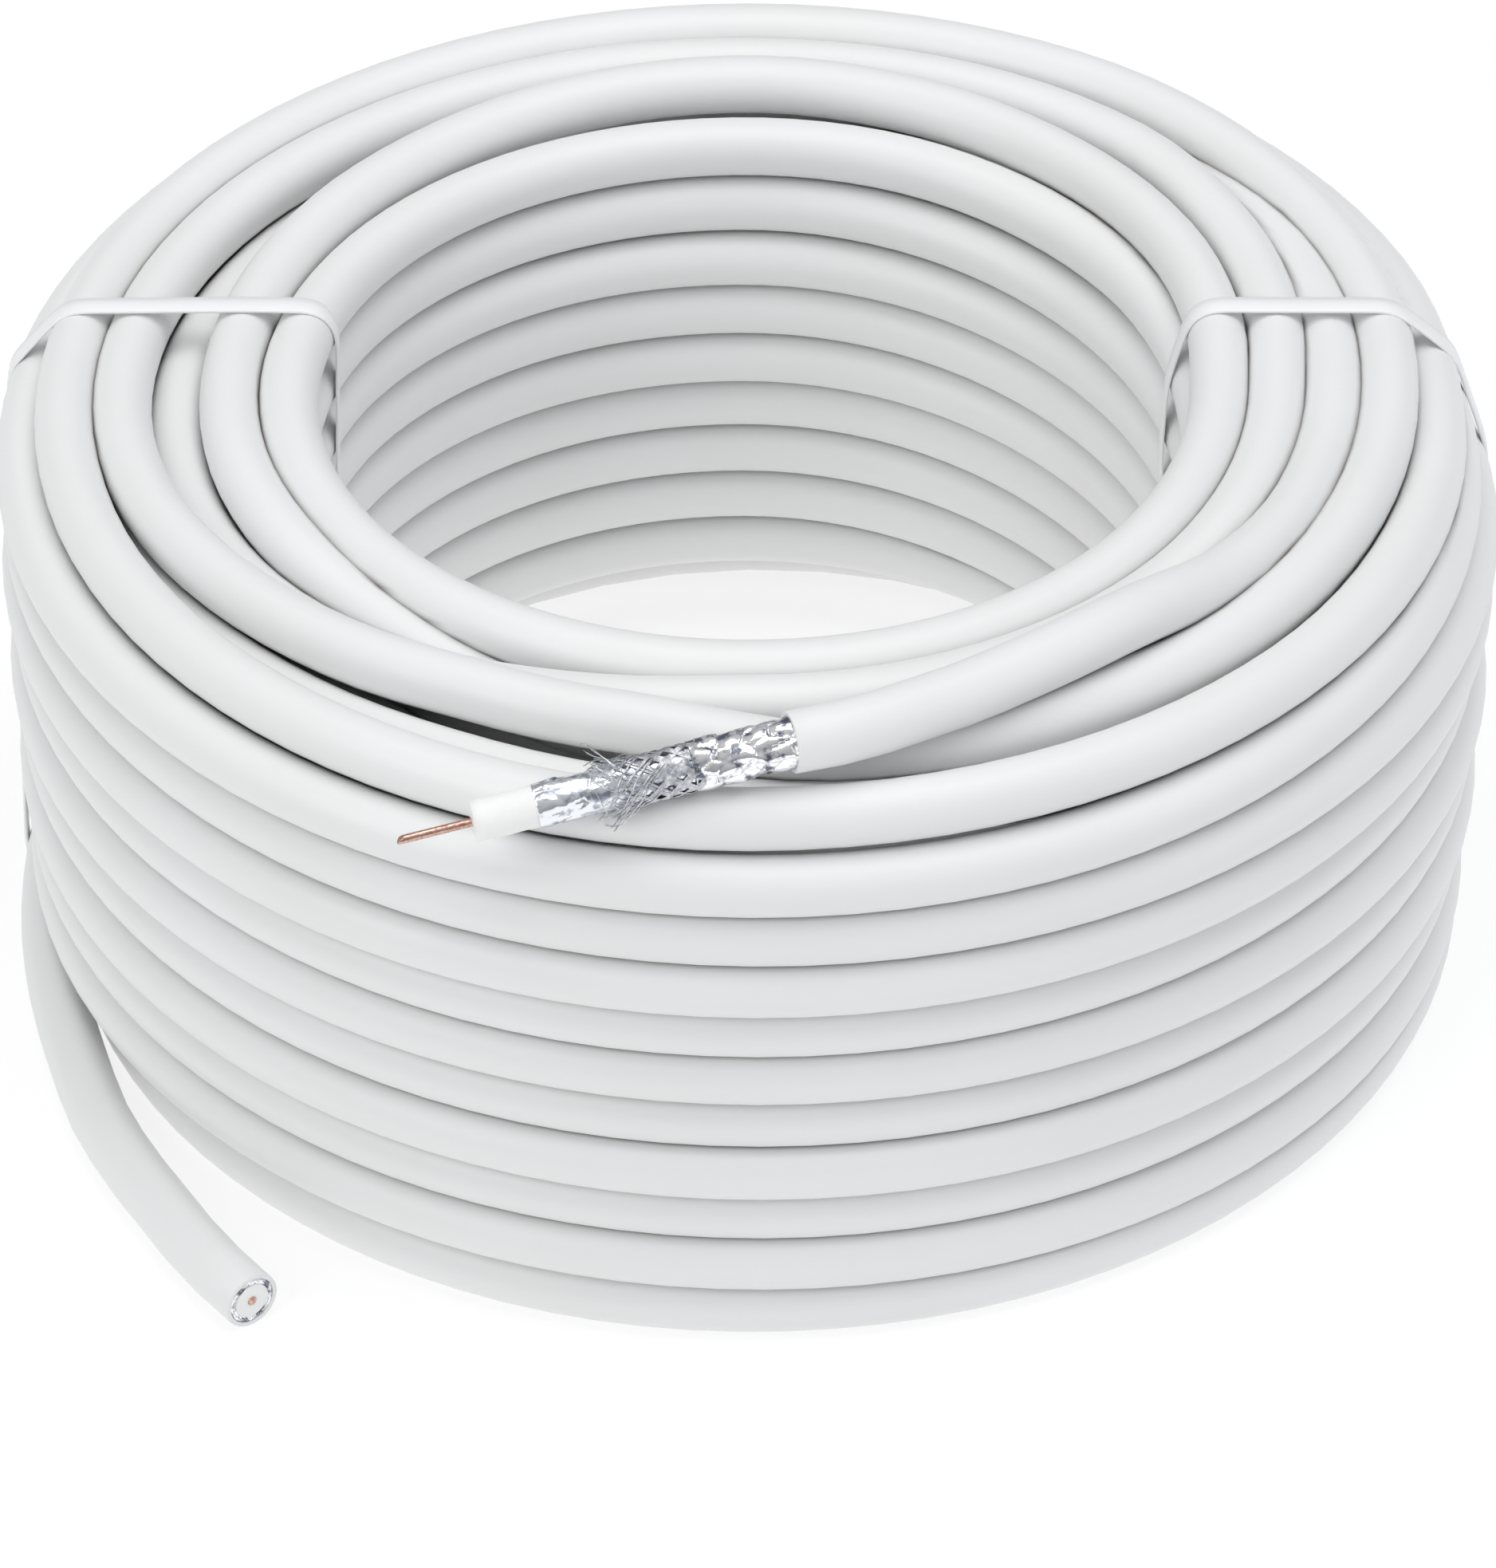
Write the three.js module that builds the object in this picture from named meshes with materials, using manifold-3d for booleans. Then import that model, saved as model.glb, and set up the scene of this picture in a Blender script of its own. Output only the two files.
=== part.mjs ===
// A coil of white coaxial cable that lies flat on the floor, tied with two thin straps.
// Millimetres, +Z up. The origin is on the floor, on the axis of the coil.
// One end of the cable lies on top with its layers stripped back, the other lies on the floor.
import * as THREE from "three";
import { mergeVertices } from "three/addons/utils/BufferGeometryUtils.js";
import Module from "manifold-3d";

const wasm = await Module();
wasm.setup();

// The cable and its layers
const cableDiameter = 7;
const outerFoilDiameter = 5.9;
const foilThickness = 0.15;
const layerClearance = 0.05;
const braidThickness = 0.2;
const conductorDiameter = 1;

// Lengths of the stripped end, each layer from the end of the one outside it
const outerFoilLength = 11;
const braidLength = 10;
const innerFoilLength = 8;
const dielectricLength = 6.3;
const conductorLength = 8.6;

// The coil: turns lie in layers, and each layer settles a little into the one below
const boreDiameter = 100.8;
const wallLayers = 11;
const boreLayers = 9;
const topTurns = 5;
const bottomTurns = 4;
const layerSettle = 0.19;
const turnSettle = 0.7;
const wallBulge = 4.3;
const wallTuck = 1.8;
const boreFoot = 9.7;

// The straps
const strapWidth = 3;
const strapThickness = 0.5;
const strapOffset = 12.5;
const strapCornerRadius = 3;

// Fits and facets
const clearance = 0.3;
const ringSegments = 36;
const bumpFacetAngle = Math.PI / 4;
const cableSides = 12;

const cableRadius = cableDiameter / 2;
const layerPitch = cableDiameter - layerSettle;
const turnPitch = cableDiameter - turnSettle;
const topCentre = cableRadius + layerPitch * (wallLayers - 1);
const coilHeight = topCentre + cableRadius;
const innerTurnRadius = boreDiameter / 2 + cableRadius;
const rimTurnRadius = innerTurnRadius + turnPitch * (topTurns - 1);

const jacket = new THREE.MeshStandardMaterial({ name: "jacket", color: "#eeeeee", roughness: 0.4 });
const foil = new THREE.MeshStandardMaterial({ name: "foil", color: "#c9ccd1", roughness: 0.2, metalness: 1 });
const wire = new THREE.MeshStandardMaterial({ name: "braid_wire", color: "#8f9094", roughness: 0.35, metalness: 1 });
const foam = new THREE.MeshStandardMaterial({ name: "foam", color: "#fbfbf8", roughness: 0.6 });
const copper = new THREE.MeshStandardMaterial({ name: "copper", color: "#b06a44", roughness: 0.3, metalness: 1 });
const strap = new THREE.MeshStandardMaterial({ name: "strap", color: "#f6f6f6", roughness: 0.45 });

const coil = new THREE.Group();

// Adds one named piece to the coil.
function add(name, geometry, material) {
  const mesh = new THREE.Mesh(geometry, material);
  mesh.name = name;
  coil.add(mesh);
  return mesh;
}

// A closed geometry as a solid that can be cut.
function toSolid(geometry) {
  const bare = geometry.index ? geometry.toNonIndexed() : geometry.clone();
  bare.deleteAttribute("normal");
  bare.deleteAttribute("uv");
  const merged = mergeVertices(bare, 1e-4);
  const shape = new wasm.Mesh({
    numProp: 3,
    vertProperties: merged.attributes.position.array,
    triVerts: new Uint32Array(merged.index.array),
  });
  return new wasm.Manifold(shape);
}

// A cut solid as a geometry again.
function toGeometry(solid) {
  const mesh = solid.getMesh();
  const geometry = new THREE.BufferGeometry();
  geometry.setAttribute("position", new THREE.BufferAttribute(mesh.vertProperties, 3));
  geometry.setIndex(new THREE.BufferAttribute(mesh.triVerts, 1));
  geometry.computeVertexNormals();
  return geometry;
}

// How far a wall turn stands outside the rim turn, with t from 0 at the rim to 1 at the floor.
function wallOffset(t) {
  const shoulder = wallBulge * (1 - (1 - Math.min(t / 0.25, 1)) ** 2);
  const tuck = wallTuck * (Math.max(t - 0.6, 0) / 0.4) ** 2;
  return shoulder - tuck;
}

// The centres of the turns that show, in the plane (radius, height), once round the section:
// down the outer wall, in along the floor, up the bore and out over the top.
function outlineTurns() {
  const turns = [];
  for (let i = 0; i < wallLayers; i++) {
    const radius = rimTurnRadius + wallOffset(i / (wallLayers - 1));
    turns.push(new THREE.Vector2(radius, topCentre - i * layerPitch));
  }
  const footRadius = turns[wallLayers - 1].x;
  for (let i = 1; i < bottomTurns; i++) {
    turns.push(new THREE.Vector2(footRadius - i * turnPitch, cableRadius));
  }
  const lowest = new THREE.Vector2(innerTurnRadius, cableRadius + boreFoot);
  turns.push(turns[turns.length - 1].clone().lerp(lowest, 0.5));
  for (let i = 0; i < boreLayers - 1; i++) {
    const height = lowest.y + ((topCentre - lowest.y) * i) / (boreLayers - 1);
    turns.push(new THREE.Vector2(innerTurnRadius, height));
  }
  for (let i = 0; i < topTurns - 1; i++) {
    turns.push(new THREE.Vector2(innerTurnRadius + i * turnPitch, topCentre));
  }
  return turns;
}

// The groove between two neighbouring turns, on the side that faces out of the bundle.
function groove(from, to) {
  const half = to.clone().sub(from).multiplyScalar(0.5);
  const depth = Math.sqrt(Math.max(cableRadius ** 2 - half.lengthSq(), 0));
  const outward = new THREE.Vector2(-half.y, half.x).normalize();
  return from.clone().add(half).addScaledVector(outward, depth);
}

// One turn's share of the outline: an odd number of flat facets that touch the round cable.
function bumpPoints(centre, start, end) {
  const a = start.clone().sub(centre).angle();
  let sweep = a - end.clone().sub(centre).angle();
  if (sweep < 0) sweep += 2 * Math.PI;
  const facets = 2 * Math.floor(sweep / bumpFacetAngle / 2) + 1;
  const step = sweep / facets;
  const reach = cableRadius / Math.cos(step / 2);
  const points = [start];
  for (let k = 1; k < facets; k++) {
    const angle = a - step * k;
    const height = centre.y + reach * Math.sin(angle);
    points.push(new THREE.Vector2(centre.x + reach * Math.cos(angle), Math.max(height, 0)));
  }
  return points;
}

// The wound cable as one ring, with its turns as bumps on the wall, the bore and both ends.
function coilGeometry() {
  const turns = outlineTurns();
  const at = (i) => turns[(i + turns.length) % turns.length];
  const outline = turns.flatMap((turn, i) => bumpPoints(turn, groove(at(i - 1), turn), groove(turn, at(i + 1))));
  outline.push(outline[0].clone());
  // The outline runs clockwise, and the turned surface faces out when it runs the other way.
  const lathe = new THREE.LatheGeometry(outline.reverse(), ringSegments);
  return lathe.rotateX(Math.PI / 2);
}

// The straight-sided loop that a strap makes round the bundle, in the plane (x, height).
function strapLoop(grow) {
  const facetShrink = Math.cos(Math.PI / ringSegments);
  const far = strapOffset + strapWidth / 2;
  const near = strapOffset - strapWidth / 2;
  const wallRadius = rimTurnRadius + wallBulge + cableRadius;
  const inner = Math.sqrt((facetShrink * boreDiameter / 2) ** 2 - far ** 2) - clearance - grow;
  const outer = Math.sqrt(wallRadius ** 2 - near ** 2) + clearance + grow;
  const low = strapThickness - grow;
  const high = coilHeight + clearance + grow;
  return { inner, outer, low, high };
}

// A rectangle with round corners, drawn into a shape or into a hole of one.
function drawLoop(path, { inner, outer, low, high }, radius) {
  path.moveTo(inner + radius, low);
  path.lineTo(outer - radius, low);
  path.absarc(outer - radius, low + radius, radius, -Math.PI / 2, 0, false);
  path.lineTo(outer, high - radius);
  path.absarc(outer - radius, high - radius, radius, 0, Math.PI / 2, false);
  path.lineTo(inner + radius, high);
  path.absarc(inner + radius, high - radius, radius, Math.PI / 2, Math.PI, false);
  path.lineTo(inner, low + radius);
  path.absarc(inner + radius, low + radius, radius, Math.PI, 1.5 * Math.PI, false);
  return path;
}

// A strap stands across the bundle at x > 0. side is 1 for that one and -1 for its twin.
function strapGeometry(side) {
  const shape = drawLoop(new THREE.Shape(), strapLoop(strapThickness), strapCornerRadius + strapThickness);
  shape.holes.push(drawLoop(new THREE.Path(), strapLoop(0), strapCornerRadius));
  const geometry = new THREE.ExtrudeGeometry(shape, { depth: strapWidth, bevelEnabled: false, curveSegments: 4 });
  geometry.rotateX(Math.PI / 2);
  geometry.translate(0, strapOffset + strapWidth / 2, 0);
  if (side > 0) return geometry;
  // The same loop, turned half round, then moved back to the same side of the coil.
  geometry.rotateZ(Math.PI);
  return geometry.translate(0, 2 * strapOffset, 0);
}

// The slot under the coil that lets a strap lie flush with the floor.
function strapSlot(side) {
  const { inner, outer } = strapLoop(strapThickness);
  const length = outer - inner + 2 * clearance;
  const depth = strapThickness + clearance;
  const box = new THREE.BoxGeometry(length, strapWidth + 2 * clearance, 2 * depth);
  return box.translate((side * (inner + outer)) / 2, strapOffset, 0);
}

const ring = toSolid(coilGeometry());
const slotted = ring.subtract(toSolid(strapSlot(1))).subtract(toSolid(strapSlot(-1)));
add("cable_coil", toGeometry(slotted), jacket);
add("band_right", strapGeometry(1), strap);
add("band_left", strapGeometry(-1), strap);

// The outline of a round cable, with a corner on its top and its bottom.
function circle(diameter) {
  const path = new THREE.Shape();
  for (let i = 0; i < cableSides; i++) {
    const angle = (2 * Math.PI * i) / cableSides;
    const point = [Math.cos(angle), Math.sin(angle)].map((v) => (v * diameter) / 2);
    if (i === 0) path.moveTo(...point);
    else path.lineTo(...point);
  }
  path.closePath();
  return path;
}

// The smooth route through points chosen by hand.
function routeOf(points) {
  return new THREE.CatmullRomCurve3(points, false, "centripetal");
}

// A run of plain cable along such a route.
function cableGeometry(points, steps) {
  const settings = { steps, extrudePath: routeOf(points), bevelEnabled: false };
  return new THREE.ExtrudeGeometry(circle(cableDiameter), settings);
}

// A point given by its distance outward of the rim turn and its bearing, so it follows the coil.
function fromRim(outward, bearing, height) {
  const radius = rimTurnRadius + outward;
  const angle = THREE.MathUtils.degToRad(bearing);
  return new THREE.Vector3(radius * Math.cos(angle), radius * Math.sin(angle), height);
}

// The tail leaves the bottom turn at the left and straightens along the floor, cut off square.
const tailPoints = [
  [9.85, -153.9],
  [11.53, -147.6],
  [12.64, -141.9],
  [14.3, -136.2],
  [17.1, -130.3],
  [19.9, -124.5],
].map(([outward, bearing]) => fromRim(outward, bearing, cableRadius));
add("cable_tail", cableGeometry(tailPoints, 12), jacket);

// The lead comes out of the top layer at the right and crosses the rim at the front.
const leadRest = coilHeight + clearance + cableRadius;
const jacketEnd = fromRim(-1.07, -86.7, leadRest + 0.9);
const leadPoints = [
  fromRim(-11.47, -50.5, leadRest),
  fromRim(-10.36, -57.5, leadRest),
  fromRim(-9.06, -64.3, leadRest),
  fromRim(-7.36, -70.2, leadRest + 0.1),
  fromRim(-5.42, -75.7, leadRest + 0.4),
  fromRim(-2.81, -81.3, leadRest + 0.8),
  jacketEnd,
];
add("cable_lead", cableGeometry(leadPoints, 16), jacket);

// The stripped end runs on from the jacket, over the rim and slightly down.
const strippedAim = new THREE.Vector3(-41.8, -10.1, -5.5).normalize();
const outerFoilEnd = outerFoilLength;
const braidEnd = outerFoilEnd + braidLength;
const innerFoilEnd = braidEnd + innerFoilLength;
const dielectricEnd = innerFoilEnd + dielectricLength;
const conductorEnd = dielectricEnd + conductorLength;

// A layer of the stripped end, from the cut jacket to its own end, as a sleeve or a solid rod.
function addLayer(name, outerDiameter, innerDiameter, from, to, material) {
  const shape = circle(outerDiameter);
  if (innerDiameter > 0) shape.holes.push(new THREE.Path(circle(innerDiameter).getPoints()));
  const geometry = new THREE.ExtrudeGeometry(shape, { depth: to - from, bevelEnabled: false });
  const mesh = add(name, geometry, material);
  mesh.quaternion.setFromUnitVectors(new THREE.Vector3(0, 0, 1), strippedAim);
  mesh.position.copy(jacketEnd).addScaledVector(strippedAim, from);
}

const outerFoilBore = outerFoilDiameter - 2 * foilThickness;
const braidDiameter = outerFoilBore - 2 * layerClearance;
const braidBore = braidDiameter - 2 * braidThickness;
const innerFoilDiameter = braidBore - 2 * layerClearance;
const innerFoilBore = innerFoilDiameter - 2 * foilThickness;
const dielectricDiameter = innerFoilBore - 2 * layerClearance;
const dielectricBore = conductorDiameter + 2 * layerClearance;
// The layers start where the slightly tilted end of the lead is cleared all round.
const leadTilt = strippedAim.angleTo(routeOf(leadPoints).getTangent(1));
const layerStart = clearance + cableRadius * Math.sin(leadTilt);

addLayer("outer_foil", outerFoilDiameter, outerFoilBore, layerStart, outerFoilEnd, foil);
addLayer("braid", braidDiameter, braidBore, layerStart, braidEnd, wire);
addLayer("inner_foil", innerFoilDiameter, innerFoilBore, layerStart, innerFoilEnd, foil);
addLayer("dielectric", dielectricDiameter, dielectricBore, layerStart, dielectricEnd, foam);
addLayer("conductor", conductorDiameter, 0, layerStart, conductorEnd, copper);

export default coil;
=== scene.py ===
# %% [markdown]
# This lesson dresses a coil of white coaxial cable. The CAD frame holds plain solids, and each
# step below replaces one or more of them with a detailed mesh in the same place. Places are
# named in millimetres and turned into metres when a mesh is made. +Z is up, and the coil stands
# on the floor with its axis on the origin.

# %% Load the frame
import math
import random

import bpy
import numpy as np
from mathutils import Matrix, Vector, kdtree, noise


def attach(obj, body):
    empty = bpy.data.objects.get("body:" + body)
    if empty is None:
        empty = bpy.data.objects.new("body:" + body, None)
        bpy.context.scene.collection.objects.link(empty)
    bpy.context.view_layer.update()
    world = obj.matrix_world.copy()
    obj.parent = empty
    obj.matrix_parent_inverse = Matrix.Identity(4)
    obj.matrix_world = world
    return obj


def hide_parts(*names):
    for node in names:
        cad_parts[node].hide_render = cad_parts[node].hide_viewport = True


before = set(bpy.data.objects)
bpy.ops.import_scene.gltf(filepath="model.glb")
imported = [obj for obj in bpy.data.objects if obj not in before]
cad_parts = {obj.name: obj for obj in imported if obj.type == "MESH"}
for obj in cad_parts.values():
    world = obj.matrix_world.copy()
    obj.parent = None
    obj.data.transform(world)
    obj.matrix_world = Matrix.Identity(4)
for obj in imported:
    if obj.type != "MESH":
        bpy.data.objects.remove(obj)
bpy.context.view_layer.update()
MM = 0.001
print("CAD nodes:", sorted(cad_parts))

# %% [markdown]
# The camera comes first. The coil is seen from the front and from about 36 degrees above, from
# nearly a metre away, so the far side looks only a little smaller than the near side. A long
# lens gives that. The coil sits above the middle of the picture, so the lens points slightly
# below it and leaves floor in view.

# %% Place the camera
PHOTO_SIZE = (1876, 1966)
COIL_PIXEL = (940, 805)
FOCAL_PIXELS = 10252
CAMERA_DISTANCE = 970
CAMERA_ELEVATION = math.radians(36.3)
COIL_MIDDLE = Vector((0, 0, 36))
SENSOR = 36

camera_data = bpy.data.cameras.new("camera")
camera = bpy.data.objects.new("camera", camera_data)
bpy.context.scene.collection.objects.link(camera)
bpy.context.scene.camera = camera
to_camera = Vector((0, -math.cos(CAMERA_ELEVATION), math.sin(CAMERA_ELEVATION)))
camera.location = (COIL_MIDDLE + to_camera * CAMERA_DISTANCE) * MM
tip_down = math.atan((PHOTO_SIZE[1] / 2 - COIL_PIXEL[1]) / FOCAL_PIXELS)
camera.rotation_euler = (math.pi / 2 - CAMERA_ELEVATION - tip_down, 0, 0)
camera_data.sensor_width = SENSOR
camera_data.lens = FOCAL_PIXELS / PHOTO_SIZE[1] * SENSOR
camera_data.clip_start = 0.01
camera_data.clip_end = 20
print(f"lens {camera_data.lens:.0f} mm, {CAMERA_DISTANCE} mm from the coil")

# %% [markdown]
# The real coil is one cable from end to end, so it is drawn as one tube along one route, and
# not as a stack of rings: only then do the turns climb, cross and dip under each other as real
# ones do. The route is a list of knots. Each knot says how many turns have been wound, the
# distance from the axis, and the height. This cell lays the tail on the floor and winds the
# bottom layer inward from it. The tail follows its CAD solid, and its last points lean in by up
# to 1.5 mm so that it meets the bottom turns.

# %% Wind the bottom layer
CABLE_RADIUS = 3.5
FLOOR_TURN = CABLE_RADIUS
RIM_RADIUS = 79.1
INNER_RADIUS = 53.9
TOP_TURN = 71.6
LAYER_PITCH = 6.81

# Distance outward of the rim turn, and bearing in degrees
TAIL = [(19.9, -124.5), (17.1, -130.3), (14.3, -136.2), (12.4, -141.9), (10.6, -147.6)]
TAIL += [(8.4, -153.9)]

knots = [(-bearing / 360, RIM_RADIUS + outward, FLOOR_TURN) for outward, bearing in TAIL]
knots += [(0.469, 84.8, 3.5), (0.5, 83.9, 3.5), (0.75, 82.6, 3.5), (1.0, 82.0, 3.5), (1.25, 81.6, 3.5)]
knots += [(1.5, 78.3, 3.5), (1.75, 75.5, 3.5), (2.25, 74.6, 3.5), (2.5, 71.2, 3.5), (2.75, 68.6, 3.5)]
knots += [(3.25, 67.8, 3.5), (3.5, 64.5, 3.5), (3.75, 61.5, 6.5), (4.0, 60.8, 9.2)]
print(len(knots), "knots from the tail to the inside of the bottom layer")

# %% [markdown]
# Inside the bundle the turns climb and descend in shells, one beside the other. Nobody sees
# them, but the cable has to pass through them to have its real length, and a loop can work
# them out. The wall bulges a little below the rim and tucks in near the floor, and each shell
# shares that shape in proportion to its place between the bore and the wall.

# %% Wind the hidden shells
WALL_BULGE = 4.3
BULGE_SHARE = 0.25
WALL_TUCK = 1.8
TUCK_START = 0.6
WALL_SHELL = 5


def wall_radius(height):
    """How far from the axis the wall turns lie at this height."""
    down = (TOP_TURN - height) / (TOP_TURN - FLOOR_TURN)
    bulge = WALL_BULGE * (1 - (1 - min(down / BULGE_SHARE, 1)) ** 2)
    return RIM_RADIUS + bulge - WALL_TUCK * (max(down - TUCK_START, 0) / (1 - TUCK_START)) ** 2


def shell(number, first_turn, turns, low, high):
    """Knots of one shell, two to a turn. Shell 1 lines the bore and shell 5 is the wall."""
    made = []
    for i in range(1, 2 * turns + 1):
        height = low + (high - low) * i / (2 * turns)
        share = (number - 1) / (WALL_SHELL - 1)
        radius = INNER_RADIUS + share * (wall_radius(height) - INNER_RADIUS)
        made.append((first_turn + i / 2, radius, height))
    return made


knots += shell(2, 4.0, 8, 9.2, 61.2)
# Near its end the shell rises at the back, into the gap between two top turns
knots += [(11.62, 60.8, 62.6), (11.75, 60.2, 65.0), (11.85, 60.3, 64.2)]
print("shell 2 ends at", knots[-4])

# %% [markdown]
# Now the part that shows most: the top layer. The second shell comes up at the front left, in
# the gap beside the innermost turn, rides high over the back and comes down at the right as the
# innermost turn itself. From there the cable goes down the bore. Each bore turn runs nearly
# level and steps down between the back and the right, where the cable was fed to the next layer.

# %% Wind the inner top turns and the bore
BORE_PITCH = 7.225
# Distance from the axis of each bore turn at the back, from the top one down
BORE_BACK = [53.9, 52.8, 51.6, 51.8, 51.9, 53.0, 53.3, 53.7, 54.2]

knots += [(12.15, 60.4, 62.4), (12.25, 59.8, 64.6), (12.29, 58.8, 65.2), (12.333, 58.3, 66.8)]
knots += [(12.375, 58.7, 69.2), (12.417, 59.3, 71.0), (12.458, 59.9, 71.6), (12.5, 60.1, 71.6)]
knots += [(12.62, 61.5, 72.8), (12.75, 64.0, 73.5), (12.806, 62.9, 73.1), (12.85, 61.3, 72.7)]
knots += [(12.914, 58.9, 72.2), (12.958, 56.6, 71.8), (13.0, 54.7, 71.6), (13.08, 53.9, 71.6)]
knots += [(13.25, 53.9, 71.6), (13.5, 53.3, 71.6)]
for turn, radius in enumerate(BORE_BACK):
    height = 71.0 - BORE_PITCH * turn
    knots.append((13.75 + turn, radius, height))
    if turn < len(BORE_BACK) - 1:
        knots += [(14.0 + turn, 53.9, height - 6.1), (14.25 + turn, 53.9, height - 6.4)]
        knots.append((14.5 + turn, 53.5, height - 6.8))
# The innermost turn leans out against its neighbour while it steps down
knots += [(13.8, 54.6, 70.2), (13.85, 55.2, 68.6), (13.9, 55.2, 67.2), (13.95, 54.6, 65.8)]
print("the bore ends at", knots[-5])

# %% [markdown]
# From the foot of the bore the cable crosses under the bundle, climbs shell 3, shows as a
# sliver in the gap at the front and goes down shell 4. Then it reaches the outside wall.
# Real wall turns lie unevenly, so each one has its own distance from the axis at the right,
# front, left and back.

# %% Wind the outer shells and the wall
WALL_RIGHT = [82.4, 82.0, 83.3, 82.8, 83.9, 82.6, 83.9, 84.2, 81.8]
WALL_FRONT = [82.2, 81.3, 82.7, 81.6, 82.6, 82.6, 84.2, 83.7, 83.8]
WALL_LEFT = [82.6, 82.6, 83.2, 82.9, 83.6, 83.0, 83.8, 83.4]
WALL_BACK = [82.2, 82.9, 82.6, 83.4, 83.2, 83.5, 83.0, 83.9]

knots += [(22.0, 54.8, 9.5), (22.25, 60.9, 3.6), (22.5, 67.3, 10.3)]
knots += shell(3, 22.5, 7, 10.3, 58.0)
knots += [(29.75, 68.6, 60.0), (30.0, 71.6, 63.6), (30.14, 75.2, 65.4), (30.25, 74.5, 68.0)]
knots += [(30.32, 73.9, 68.5), (30.36, 73.9, 67.8), (30.42, 74.4, 66.5), (30.5, 74.0, 61.5)]
knots += shell(4, 30.5, 8, 61.5, 10.3)
knots += [(38.75, 79.3, 10.3)]
for quarter, radii in enumerate([WALL_RIGHT, WALL_FRONT, WALL_LEFT, WALL_BACK]):
    for turn, radius in enumerate(radii):
        height = 10.3 + LAYER_PITCH * (turn + (quarter - 1) / 4)
        knots.append((39 + turn + quarter / 4, radius, height))
print("the wall has", len(WALL_FRONT), "turns above the bottom one")

# %% [markdown]
# The last turns make the rim. Each time round, the cable steps one place inward at the right.
# The first time makes the rim turn and the second the one beside it. The third shows as a
# narrow band at the front, dives at the left, passes hidden under its neighbours at the back
# and comes up again at the right, where it lifts off as the loose end. That end runs straight
# over the rim, and its points are the ones that its CAD solid follows.

# %% Wind the rim and the loose end
# Distance outward of the rim turn, bearing in degrees, and height
LEAD = [(-11.47, -50.5, 78.1), (-10.36, -57.5, 78.8), (-9.06, -64.3, 78.9), (-7.36, -70.2, 79.0)]
LEAD += [(-5.42, -75.7, 79.3), (-2.81, -81.3, 79.7), (-1.07, -86.7, 79.8)]

# The rim turn
knots += [(47.5, 83.8, 66.0), (47.75, 84.3, 66.8), (47.93, 82.0, 67.0), (48.0, 80.0, 67.4)]
knots += [(48.06, 79.5, 69.0), (48.13, 79.9, 70.6), (48.2, 80.7, 71.5), (48.25, 80.8, 71.6)]
knots += [(48.37, 79.8, 71.6), (48.5, 79.1, 71.6)]
knots += [(48.75, 79.0, 71.6), (48.839, 78.9, 71.6), (48.9, 77.4, 71.6), (48.96, 75.8, 71.6)]
# The turn beside it
knots += [(49.01, 74.0, 71.6), (49.07, 72.6, 71.6), (49.14, 71.7, 72.0), (49.165, 71.4, 72.2)]
knots += [(49.21, 71.0, 72.4), (49.235, 70.6, 72.6), (49.25, 69.6, 73.2), (49.283, 67.7, 73.9)]
knots += [(49.32, 67.6, 73.9)]
knots += [(49.36, 68.6, 73.3), (49.5, 72.6, 71.6), (49.75, 71.7, 71.2), (49.864, 69.8, 71.6)]
# The narrow band, its dive and its way back up
knots += [(49.906, 67.2, 71.6), (49.958, 63.8, 71.6), (50.0, 61.3, 71.6), (50.083, 60.4, 71.6)]
knots += [(50.25, 60.4, 71.6), (50.29, 61.7, 71.2), (50.333, 63.2, 70.1), (50.375, 64.6, 68.7)]
knots += [(50.417, 65.4, 67.7), (50.458, 66.0, 67.2), (50.5, 66.4, 67.1), (50.583, 67.6, 66.1)]
knots += [(50.667, 72.0, 64.3), (50.75, 75.1, 64.9), (50.833, 74.8, 66.0), (50.875, 73.4, 67.6)]
knots += [(50.917, 71.8, 69.6), (50.958, 69.8, 70.8), (51.0, 67.9, 71.4), (51.05, 66.9, 72.0)]
knots += [(51.1, 66.6, 74.2)]
knots += [(51 - bearing / 360, RIM_RADIUS + outward, height) for outward, bearing, height in LEAD]
knots = np.array(sorted(knots))
print(len(knots), "knots in all")

# %% [markdown]
# A smooth curve has to pass through every knot without swinging past it, or neighbouring turns
# would cut into each other. A monotone cubic does that: its slope is zero wherever the knots
# turn back. The visible turns get a ring of the tube every few degrees, the hidden ones fewer.

# %% Run a smooth route through the knots
HIDDEN = [(1.7, 12.15), (22.0, 30.0), (30.7, 38.6)]
RINGS_A_TURN = 96
HIDDEN_RINGS_A_TURN = 40


def knot_slopes(x, y):
    """Slopes at the knots that never let the curve swing past one."""
    step = np.diff(x)
    rise = np.diff(y) / step
    before = 2 * step[1:] + step[:-1]
    after = step[1:] + 2 * step[:-1]
    with np.errstate(divide="ignore", invalid="ignore"):
        mean = (before + after) / (before / rise[:-1] + after / rise[1:])
    turns_back = rise[:-1] * rise[1:] <= 0
    return np.concatenate([[rise[0]], np.where(turns_back, 0.0, mean), [rise[-1]]])


def smooth_through(x, y, at):
    """The height of the smooth curve through the knots x, y at each place."""
    slope = knot_slopes(x, y)
    i = np.clip(np.searchsorted(x, at, "right") - 1, 0, len(x) - 2)
    width = x[i + 1] - x[i]
    t = (at - x[i]) / width
    from_start = (2 * t**3 - 3 * t**2 + 1) * y[i] + (t**3 - 2 * t**2 + t) * width * slope[i]
    from_end = (3 * t**2 - 2 * t**3) * y[i + 1] + (t**3 - t**2) * width * slope[i + 1]
    return from_start + from_end


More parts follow.
